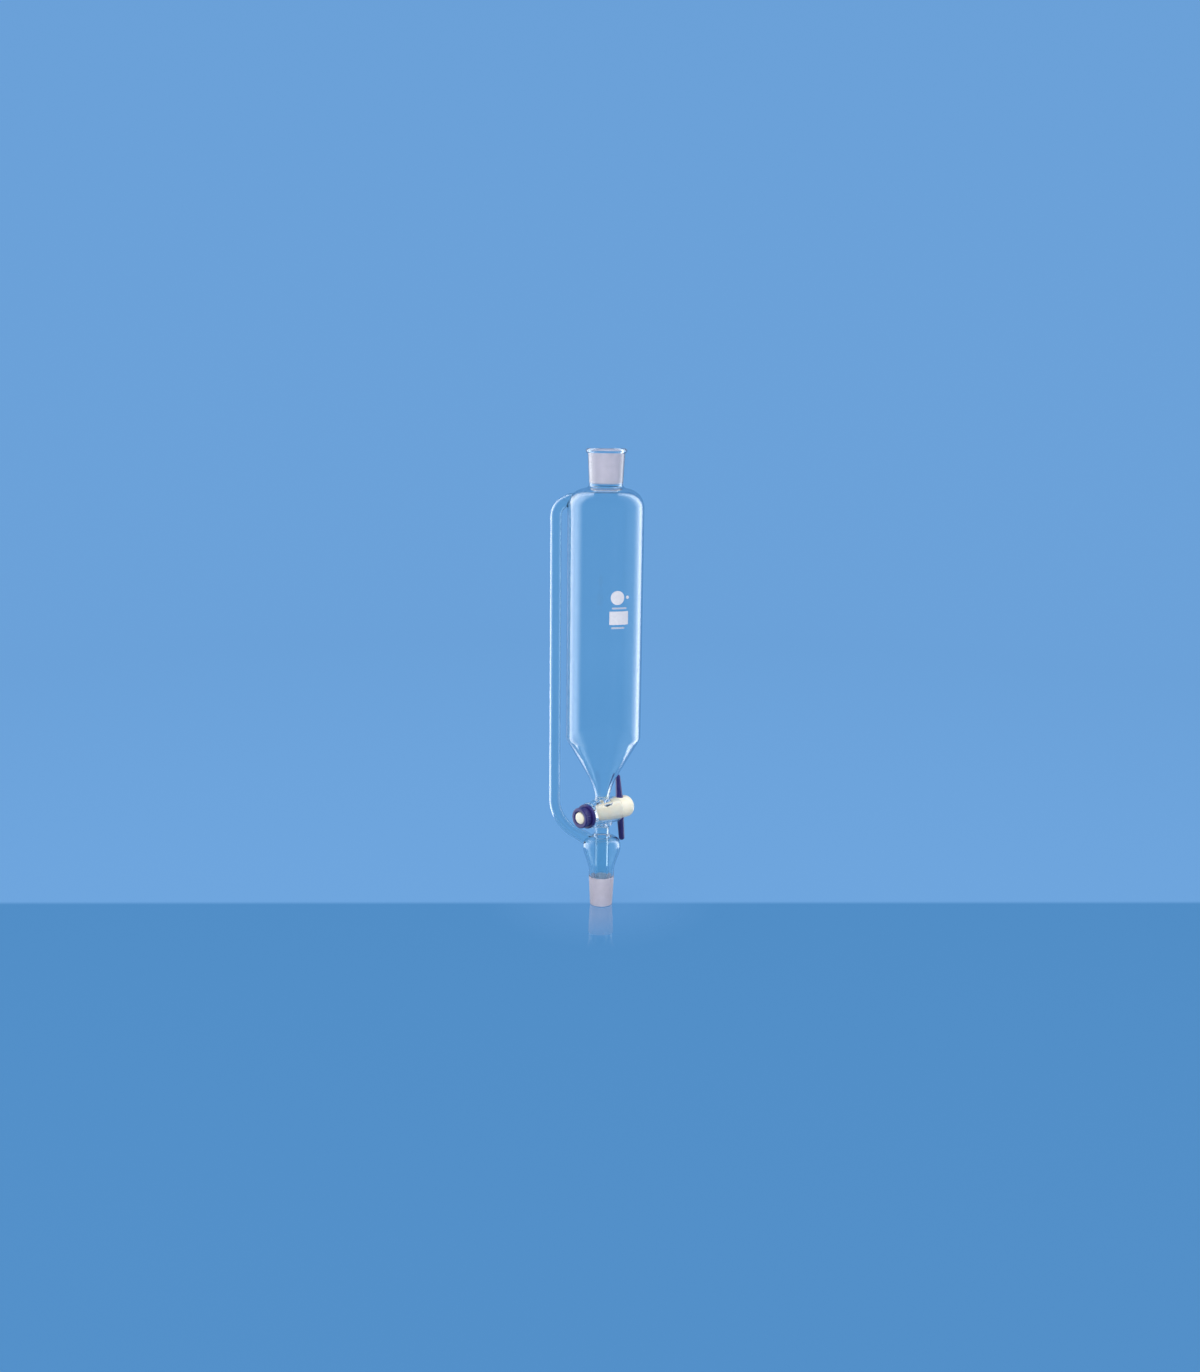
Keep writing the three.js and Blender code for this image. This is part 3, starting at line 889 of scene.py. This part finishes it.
STAGE_RADIUS = 2.6
WALL_HEIGHT = 2.8
SWEEP_RADIUS = 0.9
WALL_GLOW = (0.136, 0.334, 0.651)
FLOOR_GLOW = (0.061, 0.225, 0.491)
SOFT_GLOW = (0.30, 0.31, 0.33)  # what matt surfaces receive from the stage
FLOOR_EDGE = (-0.003, 0.005)  # how far behind the funnel the floor's darker tone ends
FLOOR_SLANT = 0.034  # how the edge turns, so that it lies level in the tilted view
FLOOR_FADE = (0.95, 1.5)  # how far round the funnel it fades out
POLISH_FADE = (0.03, 0.11)


def build_stage():
    """A seamless round backdrop: a polished floor that sweeps up into an evenly lit wall."""
    corner = STAGE_RADIUS - SWEEP_RADIUS
    sweep = arc(corner, SWEEP_RADIUS, SWEEP_RADIUS, -math.pi / 2, 0, 32)
    lid = arc(corner, WALL_HEIGHT, SWEEP_RADIUS, 0, math.pi / 2, 24)
    stage = revolved("stage", [(0, 0), (0.4, 0), *sweep, *lid, (0, WALL_HEIGHT + SWEEP_RADIUS)])
    made = Material("pale_blue_stage", Roughness=0.6)
    made.shader.inputs["Base Color"].default_value = (0.02, 0.04, 0.07, 1)
    made.shader.inputs["Specular IOR Level"].default_value = 0.0
    made.shader.inputs["Coat Roughness"].default_value = 0.05
    made.shader.inputs["Coat IOR"].default_value = 3.0
    made.shader.inputs["Emission Strength"].default_value = 1.0
    spot = made.node("ShaderNodeTexCoord")
    reach = made.node("ShaderNodeVectorMath", operation="LENGTH")
    made.links.new(spot.outputs["Object"], reach.inputs[0])
    behind = made.node("ShaderNodeVectorMath", operation="DOT_PRODUCT")
    behind.inputs[1].default_value = (-FLOOR_SLANT, 1, 0)
    made.links.new(spot.outputs["Object"], behind.inputs[0])
    beyond = made.node("ShaderNodeMath", operation="MAXIMUM")
    made.links.new(made.rise(behind.outputs["Value"], FLOOR_EDGE), beyond.inputs[0])
    made.links.new(made.rise(reach.outputs["Value"], FLOOR_FADE), beyond.inputs[1])
    glow = made.ramp(beyond.outputs["Value"], [(0.0, FLOOR_GLOW), (1.0, WALL_GLOW)])
    path = made.node("ShaderNodeLightPath")
    soft = made.node("ShaderNodeMath", operation="GREATER_THAN")
    soft.inputs[1].default_value = 0.5
    made.links.new(path.outputs["Diffuse Depth"], soft.inputs[0])
    made.feed(made.mixed(soft.outputs["Value"], glow, SOFT_GLOW), "Emission Color")
    made.feed(made.rise(reach.outputs["Value"], POLISH_FADE, (1, 0)), "Coat Weight")
    stage.data.materials.append(made.data)


def light_panel(name, lit, start, end, reach, heights, stops, radiance, inner_share):
    """A curved light panel round the funnel that shows only in reflections on the lit objects.

    start and end are angles from straight behind the funnel, and stops say how bright it is from
    its back edge (0) to its front edge (1). A ray that no surface has reflected passes through,
    and one that has been inside the glass sees only the inner share.
    """
    steps = 48
    mesh = bmesh.new()
    columns = []
    for i in range(steps + 1):
        angle = math.radians(start + (end - start) * i / steps)
        x, y = reach * math.sin(angle), reach * math.cos(angle)
        columns.append([mesh.verts.new((x, y, height)) for height in heights])
    shade = mesh.loops.layers.uv.new("across")
    for i in range(steps):
        face = mesh.faces.new([*columns[i], *reversed(columns[i + 1])])
        for loop, share in zip(face.loops, (i, i, i + 1, i + 1)):
            loop[shade].uv = (share / steps, 0)
    data = bpy.data.meshes.new(name)
    mesh.to_mesh(data)
    mesh.free()
    panel = bpy.data.objects.new(name, data)
    bpy.context.scene.collection.objects.link(panel)
    made = Material(name + "_glow")
    across = made.node("ShaderNodeUVMap", uv_map="across")
    split = made.node("ShaderNodeSeparateXYZ")
    made.links.new(across.outputs["UV"], split.inputs["Vector"])
    glow = made.node("ShaderNodeEmission")
    made.links.new(made.ramp(split.outputs["X"], stops), glow.inputs["Color"])
    path = made.node("ShaderNodeLightPath")
    inside = made.rise(path.outputs["Transmission Depth"], (0, 1), (radiance, radiance * inner_share))
    seen = made.node("ShaderNodeMath", operation="MULTIPLY")
    made.links.new(made.rise(path.outputs["Glossy Depth"], (0, 1)), seen.inputs[0])
    made.links.new(inside, seen.inputs[1])
    made.links.new(seen.outputs["Value"], glow.inputs["Strength"])
    nothing = made.node("ShaderNodeBsdfTransparent")
    both = made.node("ShaderNodeAddShader")
    made.links.new(nothing.outputs["BSDF"], both.inputs[0])
    made.links.new(glow.outputs["Emission"], both.inputs[1])
    made.links.new(both.outputs["Shader"], made.nodes["Material Output"].inputs["Surface"])
    data.materials.append(made.data)
    panel.visible_camera = False
    panel.visible_shadow = False
    panel.visible_diffuse = False
    panel.light_linking.receiver_collection = lit


def soft_box(name, spot, target, side, radiance):
    """A square light with an even face of a given radiance, for matt surfaces only."""
    data = bpy.data.lights.new(name, "AREA")
    data.shape = "SQUARE"
    data.size = side
    data.energy = radiance * math.pi * side**2
    lamp = bpy.data.objects.new(name, data)
    lamp.location = spot
    facing = Vector(target) - Vector(spot)
    lamp.rotation_euler = facing.to_track_quat("-Z", "Y").to_euler()
    lamp.visible_camera = False
    lamp.visible_glossy = False
    lamp.visible_transmission = False
    bpy.context.scene.collection.objects.link(lamp)


# Soft boxes: name, spot, target, side and radiance.
SOFT_BOXES = [
    ("top_box", (0, -0.2, 1.9), (0, 0, 0), 1.5, 2.5),
    ("left_fill", (-1.1, -1.2, 0.9), (0, 0, 0.2), 1.0, 6.2),
    ("right_fill", (1.2, -1.1, 0.7), (0, 0, 0.2), 1.0, 4.0),
]


PANEL_REACH = 0.17
PANEL_HEIGHTS = (0.002, 0.8)


def build_lights(pieces):
    world = bpy.data.worlds.new("studio")
    world.use_nodes = True
    world.node_tree.nodes["Background"].inputs["Color"].default_value = (0.92, 0.95, 1.0, 1)
    world.node_tree.nodes["Background"].inputs["Strength"].default_value = 0.3
    bpy.context.scene.world = world
    lit = bpy.data.collections.new("seen_in_the_panels")
    for piece in pieces:
        lit.objects.link(piece)
    left_fade = [(0.0, 0.0), (0.1, 0.3), (0.3, 1.0), (0.45, 1.0), (0.63, 0.67), (0.85, 0.3), (1.0, 0.0)]
    right_fade = [(0.0, 0.0), (0.2, 0.8), (0.42, 1.0), (0.7, 0.45), (1.0, 0.0)]
    light_panel("left_panel", lit, -34, -114, PANEL_REACH, PANEL_HEIGHTS, left_fade, 4.5, 0.12)
    light_panel("right_panel", lit, 46, 94, PANEL_REACH, PANEL_HEIGHTS, right_fade, 3.6, 0.5)
    for name, spot, target, side, radiance in SOFT_BOXES:
        soft_box(name, spot, target, side, radiance)


CAMERA_DISTANCE = 1.142
CAMERA_HEIGHT = 0.4305
CAMERA_SIDE = -0.0034
CAMERA_PITCH = math.radians(10.8)
CAMERA_ROLL = math.radians(0.67)
SENSOR = 36.0
LENS = 32.8


def build_camera():
    data = bpy.data.cameras.new("camera")
    data.sensor_width = SENSOR
    data.lens = LENS
    data.clip_start = 0.01
    camera = bpy.data.objects.new("camera", data)
    spot = Matrix.Translation((CAMERA_SIDE, -CAMERA_DISTANCE, CAMERA_HEIGHT))
    tilt = Matrix.Rotation(math.pi / 2 - CAMERA_PITCH, 4, "X")
    camera.matrix_world = spot @ tilt @ Matrix.Rotation(CAMERA_ROLL, 4, "Z")
    bpy.context.scene.collection.objects.link(camera)
    bpy.context.scene.camera = camera

GLASS_BOUNCES = 32  # enough for light to pass through every wall of the glass


build_camera()
build_object()
build_stage()
build_lights(pieces)
for bounces in ("max_bounces", "glossy_bounces", "transmission_bounces", "transparent_max_bounces"):
    setattr(bpy.context.scene.cycles, bounces, GLASS_BOUNCES)
bpy.context.scene.view_settings.view_transform = "Standard"
